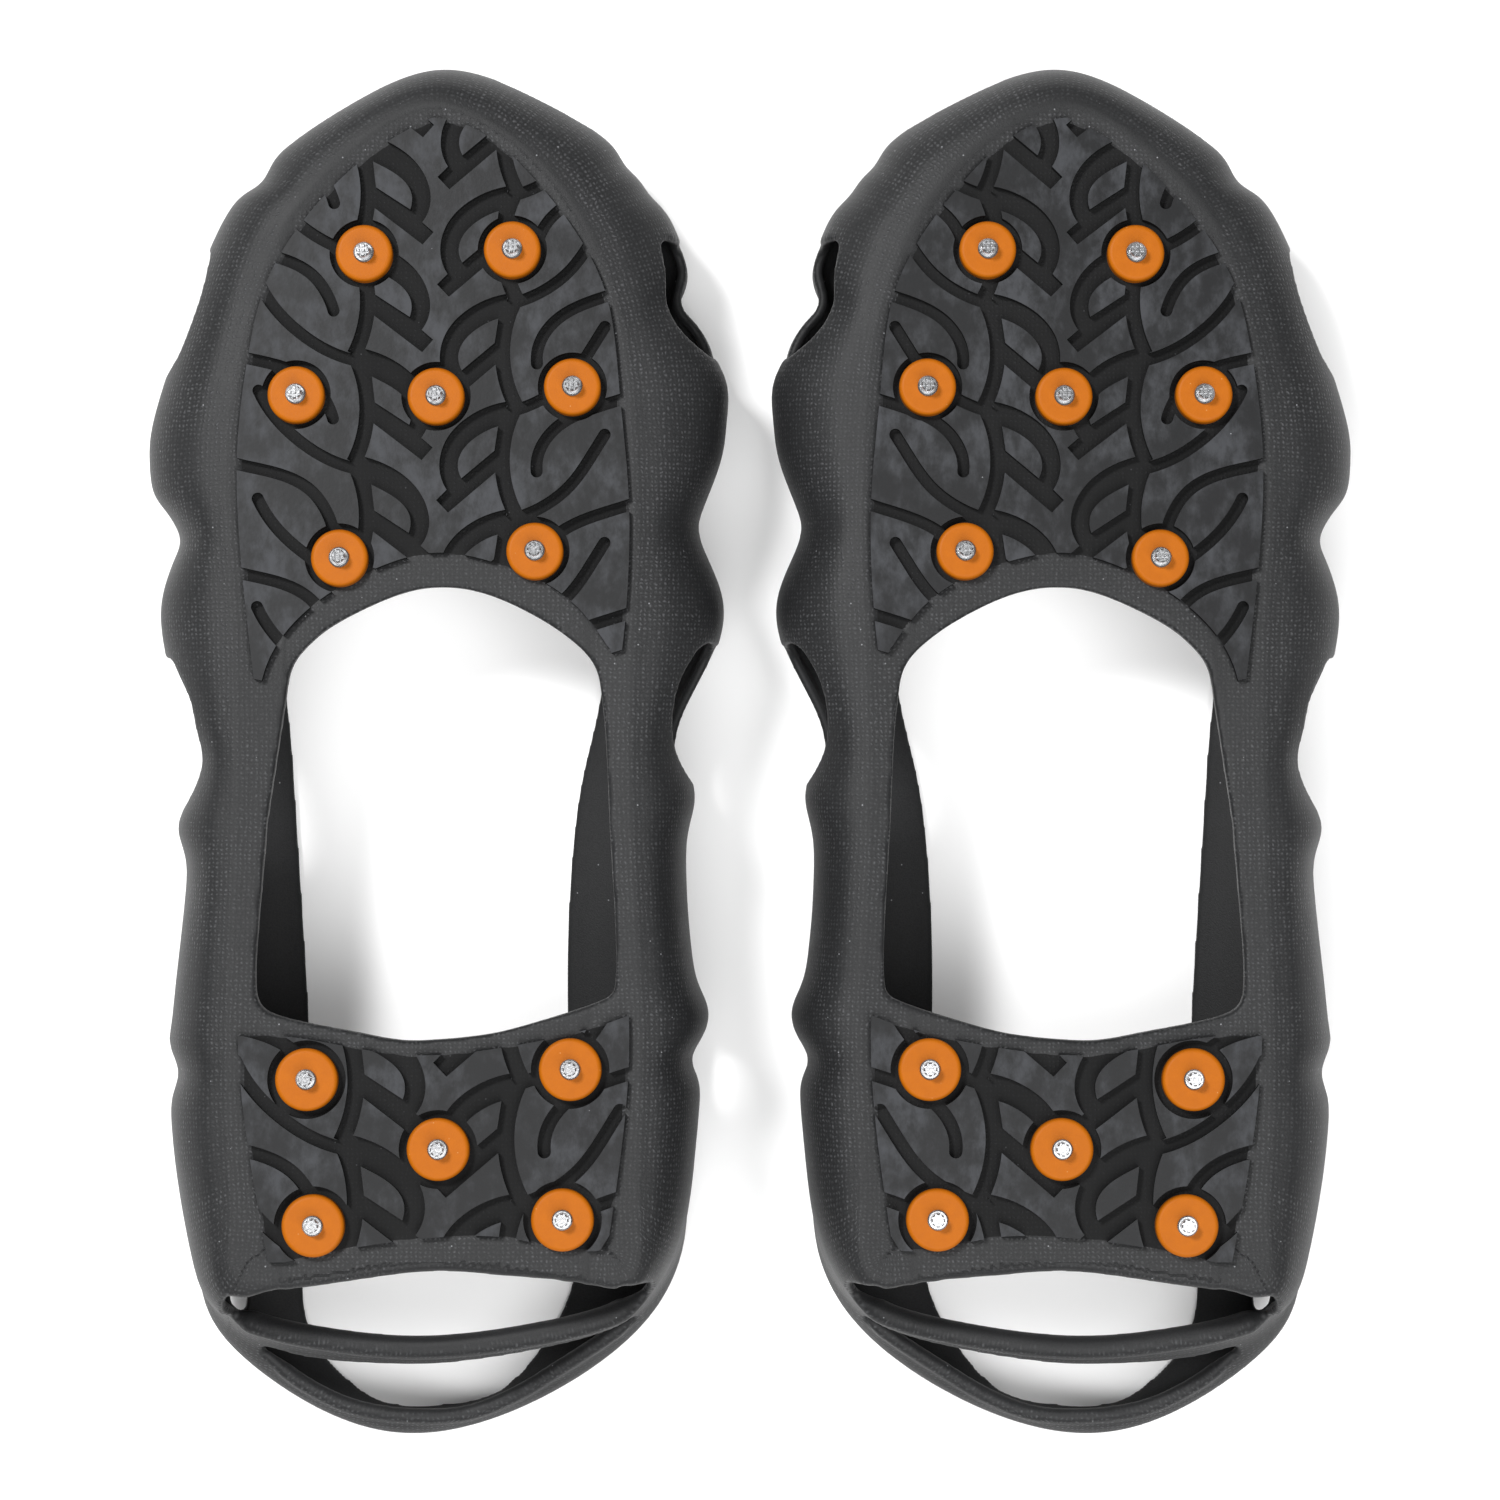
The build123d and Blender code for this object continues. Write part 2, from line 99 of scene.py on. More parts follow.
def closed_curve(points, count):
    """A smooth closed curve through the points, sampled evenly between them (periodic cubic spline)."""
    p = np.array(points, float)
    n = len(p)
    eye = np.eye(n)
    system = 4 * eye + np.roll(eye, 1, axis=1) + np.roll(eye, -1, axis=1)
    bend = np.linalg.solve(system, 6 * (np.roll(p, -1, 0) - 2 * p + np.roll(p, 1, 0)))
    t = np.arange(count) * n / count
    i = t.astype(int) % n
    j = (i + 1) % n
    f = (t - np.floor(t))[:, None]
    g = 1 - f
    return g * p[i] + f * p[j] + ((g ** 3 - g) * bend[i] + (f ** 3 - f) * bend[j]) / 6


def inset_step(outline):
    """Unit steps inwards, one for each point of the outline."""
    along = np.roll(outline, -1, 0) - np.roll(outline, 1, 0)
    along = along / np.linalg.norm(along, axis=1)[:, None]
    return np.stack([-along[:, 1], along[:, 0]], 1)


def inset(outline, by):
    """The outline moved inwards, point by point along its own normals."""
    return outline + inset_step(outline) * by


def raised(outline, share, lift=0.0):
    """The outline as points in space at a share of the height; the top is tilted with the sole."""
    z = (SOLE_Z - SLOPE * outline[:, 1]) * share + lift
    return np.column_stack([outline, z])


def smooth_rows(sections, spans):
    """Rows through the sections, station by station, spaced by the distance between the sections."""
    rows = []
    s = [np.asarray(a, float) for a in sections]
    for k in range(len(s) - 1):
        before = s[k - 1] if k else 2 * s[0] - s[1]
        after = s[k + 2] if k + 2 < len(s) else 2 * s[-1] - s[-2]
        a, b = s[k], s[k + 1]
        d0 = np.sqrt(np.linalg.norm(a - before, axis=1))[:, None] + 1e-9
        d1 = np.sqrt(np.linalg.norm(b - a, axis=1))[:, None] + 1e-9
        d2 = np.sqrt(np.linalg.norm(after - b, axis=1))[:, None] + 1e-9
        ta = ((a - before) / d0 - (b - before) / (d0 + d1) + (b - a) / d1) * d1
        tb = ((b - a) / d1 - (after - a) / (d1 + d2) + (after - b) / d2) * d1
        for q in range(spans):
            t = q / spans
            rows.append(
                (2 * t ** 3 - 3 * t ** 2 + 1) * a + (t ** 3 - 2 * t ** 2 + t) * ta
                + (3 * t ** 2 - 2 * t ** 3) * b + (t ** 3 - t ** 2) * tb
            )
    rows.append(s[-1])
    return rows


# Pinches and bulges of the side wall between the legs, and of the lip: x, y, how far inwards and how wide
WALL_DENTS = [
    (-36.8, 111, 2.0, 4), (34.5, 113.5, 1.8, 3.5), (38.5, 108.5, 1.6, 4), (-52, 40.5, 0.7, 3),
    (-56, 50, -1.3, 4.5), (48.5, 43.5, 0.4, 4), (-53.5, -62.5, 1.7, 4), (49.5, -60, 1.9, 3.5),
    (49.5, -51, -2, 5), (-50, -15, -2.4, 5), (-49.5, -2, 1.5, 5), (-54.5, -56.5, -0.5, 3),
    (46.8, -9, -1.9, 6), (49, 87, 2.4, 5), (52.5, 71, -1.6, 6),
]
LIP_DENTS = [(48.5, 86.5, 6.3, 4.5), (-41.5, 97.5, -2, 5.5)]


def dented(outline, dents):
    """The outline pushed inwards at the pinches and outwards at the bulges."""
    moved = outline.copy()
    for x, y, depth, width in dents:
        near = np.exp(-((outline[:, 0] - x) ** 2 + (outline[:, 1] - y) ** 2) / width ** 2)
        moved += inset_step(outline) * (near * depth)[:, None]
    return moved


sole_line = closed_curve(edge_of_sole, AROUND)
wide_line = dented(closed_curve(widest, AROUND), WALL_DENTS)
lip_line = dented(closed_curve(lip, AROUND), LIP_DENTS)
rim_line = inset(closed_curve(mouth, AROUND), -RIM_OUT)
belly_line = inset(wide_line + (lip_line - wide_line) * BELLY_TO_LIP, -BELLY_OUT)

# The shoulder stands a little over the bed of the lugs along both sides and round the toe
BED_LIFT = 0.6
SHOULDER_LIFT = 0.4
SIDE_FROM = 26
SIDE_OVER = 8
TOE_FROM = 88
TOE_OVER = 14
by_side = (np.abs(sole_line[:, 0]) - SIDE_FROM) / SIDE_OVER
by_toe = (sole_line[:, 1] - TOE_FROM) / TOE_OVER
side_lift = BED_LIFT + SHOULDER_LIFT * np.clip(np.maximum(by_side, by_toe), 0, 1)

# The wall: a quarter turn from the sole's edge to the widest line, then down to the rim
sections = [raised(sole_line, 1.0, side_lift)]
for angle in (22, 45, 68):
    a = math.radians(angle)
    line = sole_line + (wide_line - sole_line) * math.sin(a)
    share = WIDEST_AT + (1 - WIDEST_AT) * math.cos(a)
    sections.append(raised(line, share, side_lift * math.cos(a)))
sections += [
    raised(wide_line, WIDEST_AT),
    raised(belly_line, BELLY_AT),
    raised(lip_line, LIP_AT),
    raised(rim_line, 0.0, RIM_Z),
]
wall_rows = smooth_rows(sections, ROWS_PER_SPAN)

# The bed: rows from a narrow ring along the middle out to the sole's edge, where the shoulder's lift begins
MIDDLE_X = -1.0
SPINE_ENDS = (-88, 104)
LIFT_FROM = 0.8
spine = np.column_stack([np.full(AROUND, MIDDLE_X), np.clip(sole_line[:, 1], *SPINE_ENDS)])
bed_rows = []
for share in (0.06, 0.2, 0.4, 0.6, 0.8, 0.93):
    flat = spine + (sole_line - spine) * share
    to_edge = max(0.0, (share - LIFT_FROM) / (1 - LIFT_FROM))
    bed_rows.append(raised(flat, 1.0, BED_LIFT + (side_lift - BED_LIFT) * to_edge))
skin_rows = bed_rows + wall_rows


def inner_rows(rows):
    """The rows moved inwards along the skin's own normals, by the web's or the wall's thickness."""
    grid = np.array(rows)
    past_web = np.clip((np.arange(len(rows)) - len(bed_rows)) / WEB_EASE_ROWS, 0, 1)
    by = (WEB + (WALL - WEB) * past_web ** 2 * (3 - 2 * past_web))[:, None, None]
    around = np.roll(grid, -1, 1) - np.roll(grid, 1, 1)
    across = np.gradient(grid, axis=0)
    normal = np.cross(across, around)
    normal /= np.linalg.norm(normal, axis=2)[:, :, None]
    for _ in range(3):
        normal = (np.roll(normal, 1, 1) + 2 * normal + np.roll(normal, -1, 1)) / 4
    return list(grid - normal * by)


def shell_mesh(name, outer, inner):
    """A closed wall between two sets of rows, capped over the first row and joined round the last."""
    rings = outer + inner[::-1]
    n = len(outer[0])
    faces = [list(range(n))[::-1]]
    for r in range(len(rings) - 1):
        for i in range(n):
            j = (i + 1) % n
            faces.append((r * n + i, r * n + j, (r + 1) * n + j, (r + 1) * n + i))
    faces.append([(len(rings) - 1) * n + i for i in range(n)])
    mesh = bpy.data.meshes.new(name)
    mesh.from_pydata([tuple(v) for v in np.concatenate(rings)], [], faces)
    bm = bmesh.new()
    bm.from_mesh(mesh)
    bmesh.ops.triangulate(bm, faces=[f for f in bm.faces if len(f.verts) > 4])
    bmesh.ops.recalc_face_normals(bm, faces=bm.faces)
    bm.to_mesh(mesh)
    bm.free()
    return mesh


def new_object(name, mesh):
    obj = bpy.data.objects.new(name, mesh)
    bpy.context.collection.objects.link(obj)
    return obj


def apply_modifiers(obj):
    """The object's mesh with its modifiers applied."""
    bpy.context.view_layer.update()
    graph = bpy.context.evaluated_depsgraph_get()
    mesh = bpy.data.meshes.new_from_object(obj.evaluated_get(graph))
    obj.modifiers.clear()
    obj.data = mesh


def object_from_rings(name, rings, looped=False):
    """A closed object through rings of points, each joined to the next; its ends are capped or looped."""
    bm = bmesh.new()
    rows = [[bm.verts.new(p) for p in ring] for ring in rings]
    after = rows[1:]
    if looped:
        after.append(rows[0])
    else:
        bm.faces.new(rows[0])
        bm.faces.new(rows[-1])
    for a, b in zip(rows, after):
        for q in range(len(a)):
            r = (q + 1) % len(a)
            bm.faces.new((a[q], a[r], b[r], b[q]))
    bmesh.ops.recalc_face_normals(bm, faces=bm.faces)
    mesh = bpy.data.meshes.new(name)
    bm.to_mesh(mesh)
    bm.free()
    return new_object(name, mesh)


def circle(centre, radius, ahead, beside, sides):
    """A ring of points round a centre, square to the way ahead; beside sets where it starts."""
    side = ahead.cross(beside).normalized()
    up = side.cross(ahead).normalized()
    turns = [2 * math.pi * q / sides for q in range(sides)]
    return [centre + radius * (side * math.cos(t) + up * math.sin(t)) for t in turns]


def prism(name, outline, low, high):
    """A closed upright prism over an outline of points."""
    return object_from_rings(name, [[(x, y, z) for x, y in outline] for z in (low, high)])


def open_curve(points, per_span=8):
    """A smooth open curve through the points."""
    rows = smooth_rows([np.array([q], float) for q in points], per_span)
    return [r[0] for r in rows]


def rounded(corners, radius, per_corner=6):
    """A polygon with its corners rounded, as points."""
    points = []
    c = [Vector(p) for p in corners]
    for k, p in enumerate(c):
        back = c[k - 1] - p
        ahead = c[(k + 1) % len(c)] - p
        r = min(radius, 0.45 * back.length, 0.45 * ahead.length)
        start = p + back.normalized() * r
        end = p + ahead.normalized() * r
        for q in range(per_corner + 1):
            t = q / per_corner
            points.append((1 - t) ** 2 * start + 2 * t * (1 - t) * p + t ** 2 * end)
    return points


def window_cutter(name, axis, corners, radius, reach):
    """A window's cutter: a rounded polygon carried straight along X (sides) or Y (toe)."""
    outline = rounded(corners, radius)
    rings = [[(depth, u, w) if axis == "x" else (u, depth, w) for u, w in outline] for depth in reach]
    return object_from_rings(name, rings)


# ---------------------------------------------------------------- the harness skin, in mm: cut, then rounded
shell = new_object("left_harness_skin", shell_mesh("left_harness_skin", skin_rows, inner_rows(skin_rows)))
uncut = BVHTree.FromObject(shell, bpy.context.evaluated_depsgraph_get())

# Windows: corners as (y, z) for the sides and (x, z) for the toe, and the corner's rounding
outer_windows = [
    ([(98.5, 12), (97.5, 29), (88, 32.5), (76, 31.5), (72.5, 27), (71.5, 11)], 5),
    ([(47, 11), (46.5, 22), (35.5, 22), (35, 11)], 4),
    ([(18.5, 13), (18.5, 34.5), (10, 39.3), (-4, 38.2), (-11.7, 31), (-12.5, 13)], 6),
    ([(-55, 12), (-56, 24), (-67, 24), (-67.5, 12)], 4),
]
inner_windows = [
    ([(100, 11), (100, 32.5), (90, 34), (79.5, 34), (76, 29), (75.5, 11)], 4),
    ([(47.5, 11), (47, 22), (37, 22), (36, 11)], 4),
    ([(20.5, 13), (21.5, 36), (12, 40), (1, 37.8), (-6.5, 30.5), (-7.5, 13)], 6),
    ([(-52, 12), (-53, 24), (-64, 24), (-65, 12)], 4),
]
toe_windows = [
    [(-34, 10), (-33.5, 25), (-10.5, 25), (-10, 10)],
    [(8, 10), (8.5, 25), (29, 25), (29.5, 10)],
]
TOE_ROUNDING = 5
OUTER_REACH = (-75, -30)
INNER_REACH = (20, 70)
TOE_REACH = (85, 150)
cutters = []
for side, windows, reach in (("outer", outer_windows, OUTER_REACH), ("inner", inner_windows, INNER_REACH)):
    for k, (corners, radius) in enumerate(windows):
        cutters.append(window_cutter(f"cut_{side}_{k}", "x", corners, radius, reach))
for k, corners in enumerate(toe_windows):
    cutters.append(window_cutter(f"cut_toe_{k}", "y", corners, TOE_ROUNDING, TOE_REACH))
heel_corner_hole = rounded([(-45.2, -104.5), (-44, -110.5), (-41.5, -112), (-40.8, -104)], 1.5)
cutters.append(prism("cut_heel_corner", heel_corner_hole, -2.0, 15.0))


def line_seen_from_above(points, per_span=12):
    """Points and normals on the uncut skin under a smooth line of (x, y)."""
    down = Vector((0, 0, -1))
    return [uncut.ray_cast(Vector((x, y, 100)), down)[:2] for x, y in open_curve(points, per_span)]


def line_seen_from_behind(points, per_span=12):
    """Points and normals on the back of the uncut skin at a smooth line of (x, z)."""
    ahead = Vector((0, 1, 0))
    return [uncut.ray_cast(Vector((x, -200, z)), ahead)[:2] for x, z in open_curve(points, per_span)]


# How far a gap's cutter reaches: well past the heel's bulge outside, and just past the wall inside
CUT_OUT = 17
CUT_IN = 5
GAP_STEPS = 60


def gap_cutter(name, front, back):
    """A cutter that passes square through the skin between two lines drawn on it."""
    rings = []
    for k in range(GAP_STEPS):
        share = k / (GAP_STEPS - 1)
        (f, f_normal), (b, b_normal) = (line[round(share * (len(line) - 1))] for line in (front, back))
        outside = (f + CUT_OUT * f_normal, b + CUT_OUT * b_normal)
        inside = (f - CUT_IN * f_normal, b - CUT_IN * b_normal)
        rings.append((outside[0], inside[0], inside[1], outside[1]))
    return object_from_rings(name, rings)


# Lines on the skin: the sole's back edge, the heel loop, its lower edge and the band's top
back_edge = line_seen_from_above([
    (-41, -104), (-33, -101.6), (-20, -99.4), (-1, -97.1), (13, -98), (26, -99.2), (40.5, -101.8),
])
loop_line = line_seen_from_behind([
    (-41.5, 27), (-36, 28), (-25, 28.6), (-6, 29), (12, 29), (22, 28.8), (31, 28.2), (39, 27.2),
])
loop_lower = line_seen_from_above([
    (-36.5, -117.2), (-23, -119.1), (-5, -119.6), (3, -119), (17.5, -116.8), (30, -113.8), (36.5, -111.2),
])
band_top = line_seen_from_above([
    (-37.5, -119), (-30, -125.2), (-20, -130.2), (-8, -132.1), (3, -131.7), (12, -128.4), (22, -122.3),
    (31, -116.4), (37, -112),
])
cutters.append(gap_cutter("cut_first_gap", back_edge, loop_line))
cutters.append(gap_cutter("cut_second_gap", loop_lower, band_top))

# The arch's opening: over the front, down the big-toe side, back across the heel web and up again
arch = open_curve([
    (-30, 8), (-28.4, 16.2), (-24, 21.4), (-19.1, 24.8), (-8.7, 29.6), (-2.8, 31), (3.9, 30.9), (11.6, 28.7),
    (23.4, 22.1), (29.2, 16.2), (30.9, 8), (32.2, -14), (33.4, -44), (32.6, -46.6), (30, -48), (17.3, -52.1),
    (9.7, -54), (-1.7, -55.2), (-7.4, -55.2), (-15.9, -53.7), (-31, -50.5), (-34, -48.8), (-35, -46),
    (-33.2, -14),
])
cutters.append(prism("cut_arch", arch, 25.0, 80.0))
for number, c in enumerate(cutters):
    cut = shell.modifiers.new(f"cut_{number}", "BOOLEAN")
    cut.operation = "DIFFERENCE"
    cut.solver = "MANIFOLD"
    cut.object = c
apply_modifiers(shell)


def keep_the_largest(mesh):
    """Drop the loose chips that cutting leaves."""
    bm = bmesh.new()
    bm.from_mesh(mesh)
    waiting = set(bm.verts)
    pieces = []
    while waiting:
        front = [waiting.pop()]
        piece = []
        while front:
            v = front.pop()
            piece.append(v)
            near = {edge.other_vert(v) for edge in v.link_edges} & waiting
            waiting -= near
            front += near
        pieces.append(piece)
    pieces.sort(key=len)
    bmesh.ops.delete(bm, geom=[v for piece in pieces[:-1] for v in piece], context="VERTS")
    bm.to_mesh(mesh)
    bm.free()


keep_the_largest(shell.data)

# Rounded edges: the sole's back edge, the heel loop, the band round the heel and every window
MID_WALL = WALL / 2
RIM_RADIUS = 1.05
RIM_STEP = 1.5
RIM_SIDES = 12
BEAD_SIDES = 20
BEAD_TAPER = 0.08     # share of a bead's length over which each end grows to full thickness


def edge_bead(name, line, depth, radius):
    """A bead under the skin along a line drawn on it, half as thick at both ends."""
    points = [p - normal * depth for p, normal in line]
    last = len(points) - 1
    rings = []
    for k, p in enumerate(points):
        ahead = (points[min(k + 1, last)] - points[max(k - 1, 0)]).normalized()
        full = min(1.0, 0.5 + 0.5 * min(k, last - k) / (BEAD_TAPER * len(points)))
        rings.append(circle(p, radius * full, ahead, Vector((0, 0, 1)), BEAD_SIDES))
    return object_from_rings(name, rings)


def window_rim(name, axis, corners, radius, outside_at):
    """A rounded rim round a window, in the middle of the wall's thickness."""
    outline = rounded(corners, radius)
    path = []
    for k, p in enumerate(outline):
        after = outline[(k + 1) % len(outline)]
        steps = max(1, int((after - p).length / RIM_STEP))
        path += [p + (after - p) * (q / steps) for q in range(steps)]
    toward = Vector((-math.copysign(1, outside_at), 0, 0) if axis == "x" else (0, -1, 0))
    points = []
    for u, w in path:
        start = Vector((outside_at, u, w) if axis == "x" else (u, outside_at, w))
        hit, normal = uncut.ray_cast(start, toward)[:2]
        if hit:
            points.append(hit - normal * MID_WALL)
    middle = sum(points, Vector()) / len(points)
    rings = []
    for k, p in enumerate(points):
        ahead = (points[(k + 1) % len(points)] - points[k - 1]).normalized()
        rings.append(circle(p, RIM_RADIUS, ahead, p - middle, RIM_SIDES))
    return object_from_rings(name, rings, looped=True)


beads = [
    edge_bead("back_edge", back_edge, 1.8, 1.8),
    edge_bead("loop", loop_line, MID_WALL, 2.4),
    edge_bead("loop_lower", loop_lower, MID_WALL, 1.15),
    edge_bead("band_top", band_top, MID_WALL, 1.6),
]
for side, windows, outside_at in (("outer", outer_windows, -90), ("inner", inner_windows, 90)):
    for k, (corners, radius) in enumerate(windows):
        beads.append(window_rim(f"rim_{side}_{k}", "x", corners, radius, outside_at))
for k, corners in enumerate(toe_windows):
    beads.append(window_rim(f"rim_toe_{k}", "y", corners, TOE_ROUNDING, 160))

# One rounded moulding from the cut skin and the beads
joined = bmesh.new()
joined.from_mesh(shell.data)
for bead in beads:
    joined.from_mesh(bead.data)
joined.to_mesh(shell.data)
joined.free()
for extra in cutters + beads:
    bpy.data.objects.remove(extra)
VOXEL = 0.6
remesh = shell.modifiers.new("remesh", "REMESH")
remesh.mode = "VOXEL"
remesh.voxel_size = VOXEL
smooth = shell.modifiers.new("smooth", "SMOOTH")
smooth.factor = 0.5
smooth.iterations = 5
apply_modifiers(shell)
keep_the_largest(shell.data)


def points_of(mesh):
    """The mesh's vertices as an array."""
    co = np.empty(len(mesh.vertices) * 3)
    mesh.vertices.foreach_get("co", co)
    return co.reshape(-1, 3)


SINK = 0.5                  # how far the skin sinks under a tread, mm
SPREAD_STEPS = 6            # how softly it eases in
BED_HEIGHTS = (-1.2, 1.5)   # what counts as the web's outer face, mm over it
LOOK_FROM = 0.08            # the treads are looked for from this height down, m
LOOK_DOWN = 0.06


def seat_the_treads(mesh):
    """Sink the skin under the tread sheets and studs, easing in from their edges, so that no seam shows."""
    covers = []
    for name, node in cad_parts.items():
        if name.startswith("left_") and name.endswith(("_tread", "_base")):
            covers.append(BVHTree.FromObject(node, bpy.context.evaluated_depsgraph_get()))
    co = points_of(mesh)
    height = co[:, 2] - (SOLE_Z - SLOPE * co[:, 1])
    covered = np.zeros(len(co))
    for i in np.flatnonzero((height > BED_HEIGHTS[0]) & (height < BED_HEIGHTS[1])):
        start = Vector(((co[i, 0] + CENTRE_X) * MM, (co[i, 1] + SHIFT_Y) * MM, LOOK_FROM))
        if any(cover.ray_cast(start, Vector((0, 0, -1)), LOOK_DOWN)[0] for cover in covers):
            covered[i] = 1.0
    pairs = np.empty(len(mesh.edges) * 2, int)
    mesh.edges.foreach_get("vertices", pairs)
    pairs = pairs.reshape(-1, 2)
    count = np.bincount(pairs.ravel(), minlength=len(co))
    spread = covered
    for _ in range(SPREAD_STEPS):
        total = np.bincount(pairs[:, 0], spread[pairs[:, 1]], len(co))
        total += np.bincount(pairs[:, 1], spread[pairs[:, 0]], len(co))
        spread = 0.5 * spread + 0.5 * total / np.maximum(count, 1)
    inside = np.clip((spread - 0.5) * 2, 0, 1)
    co[:, 2] -= SINK * inside ** 2 * (3 - 2 * inside)
    mesh.vertices.foreach_set("co", co.ravel())
    mesh.update()


# The print's count starts anew at this point of the outlines, where the wall ends at the heel's gap
HEEL_CORNER = 15
RAIL_PRINT_X = 29.0   # the web's own print reaches this far to each side of the middle
PRINT_DEPTH = 0.8     # under the outer face the print is gone at this depth
SEAM_FADE = 2.0
TOE_WEB_Y = 60
EDGE_FADE = 1.6
EDGE_BARE = 0.3


def tree_of(points):
    """A search tree over the points."""
    tree = KDTree(len(points))
    for k, p in enumerate(points):
        tree.insert(p, k)
    tree.balance()
    return tree


def along(steps, directions):
    """How far each step goes in its direction."""
    return np.sum(steps * directions, axis=1)


def unit(vectors):
    """The vectors of a grid, each made one long."""
    return vectors / np.linalg.norm(vectors, axis=2)[:, :, None]


def lay_the_weave(mesh):
    """Store each point's place in the print, in mm along and across the sole's edge, and how far out it lies.

    The print follows the sole's edge and counts from it, down the wall and in over the web.
    """
    grid = np.array(skin_rows)
    beside = np.roll(grid, -1, 1) - np.roll(grid, 1, 1)
    down = np.gradient(grid, axis=0)
    normal = unit(np.cross(down, beside))
    beside_unit = unit(beside)
    down_unit = unit(down)
    edge_row = len(bed_rows)
    edge = grid[edge_row]
    edge_step = np.linalg.norm(np.roll(edge, -1, 0) - edge, axis=1)
    along_edge = np.concatenate([[0], np.cumsum(edge_step)[:-1]])
    along_edge[AROUND * HEEL_CORNER // len(edge_of_sole):] -= edge_step.sum()
    steps = np.linalg.norm(np.diff(grid, axis=0), axis=2)
    across = np.concatenate([np.zeros((1, AROUND)), np.cumsum(steps, axis=0)])
    across -= across[edge_row]
    stretch = edge_step / (np.linalg.norm(beside, axis=2) / 2)

    # The nearest place on the skin's rows; on the bed, the nearest point of the sole's edge
    co = points_of(mesh)
    skin_tree = tree_of(grid.reshape(-1, 3))
    found = np.array([skin_tree.find(p)[1] for p in co])
    r, i = found // AROUND, found % AROUND
    on_bed = r < edge_row
    r = np.where(on_bed, edge_row, r)
    edge_tree = tree_of(edge)
    for k in np.flatnonzero(on_bed):
        i[k] = edge_tree.find(co[k])[1]
    away = co - grid[r, i]
    sideways = along(away, beside_unit[r, i])
    flat = away - beside_unit[r, i] * sideways[:, None]
    from_edge = np.linalg.norm(flat, axis=1)

    weave = np.zeros((len(co), 3))
    weave[:, 0] = along_edge[i] + sideways * stretch[r, i]
    weave[:, 1] = np.where(on_bed, -from_edge, across[r, i] + along(away, down_unit[r, i]))
    under = np.where(on_bed, 0.0, along(away, normal[r, i]))
    outside = np.clip(1 + under / PRINT_DEPTH, 0, 1)

    # Across the web the print runs straight, and fades where it meets the rails' print
    from_middle = np.abs(co[:, 0] - MIDDLE_X)
    middle = on_bed & (from_middle < RAIL_PRINT_X)
    weave[middle, 0] = co[middle, 1]
    weave[middle, 1] = co[middle, 0]
    fade = np.clip(np.abs(from_middle - RAIL_PRINT_X) / SEAM_FADE, 0, 1)
    outside = np.where(on_bed, outside * fade, outside)
    # It also fades where the web's straight print meets the wall's round the toe
    near_edge = np.where(middle, from_edge, np.abs(weave[:, 1]))
    toe_web = (from_middle < RAIL_PRINT_X + SEAM_FADE) & (co[:, 1] > TOE_WEB_Y)
    outside = np.where(toe_web, outside * np.clip(near_edge / EDGE_FADE - EDGE_BARE, 0, 1), outside)

    for name, kind, field, values in (
        ("weave_mm", "FLOAT_VECTOR", "vector", weave),
        ("outside", "FLOAT", "value", outside),
        ("rest_mm", "FLOAT_VECTOR", "vector", co),
    ):
        layer = mesh.attributes.new(name, kind, "POINT")
        layer.data.foreach_set(field, values.ravel())


seat_the_treads(shell.data)
lay_the_weave(shell.data)


def place(mesh, mirrored):
    """From the cleat's own mm to the row frame's metres; the right cleat is the mirror image."""
    co = (points_of(mesh) + np.array([CENTRE_X, SHIFT_Y, 0.0])) * MM
    if mirrored:
        co[:, 0] *= -1
    mesh.vertices.foreach_set("co", co.ravel())
    if mirrored:
        mesh.flip_normals()
    mesh.update()


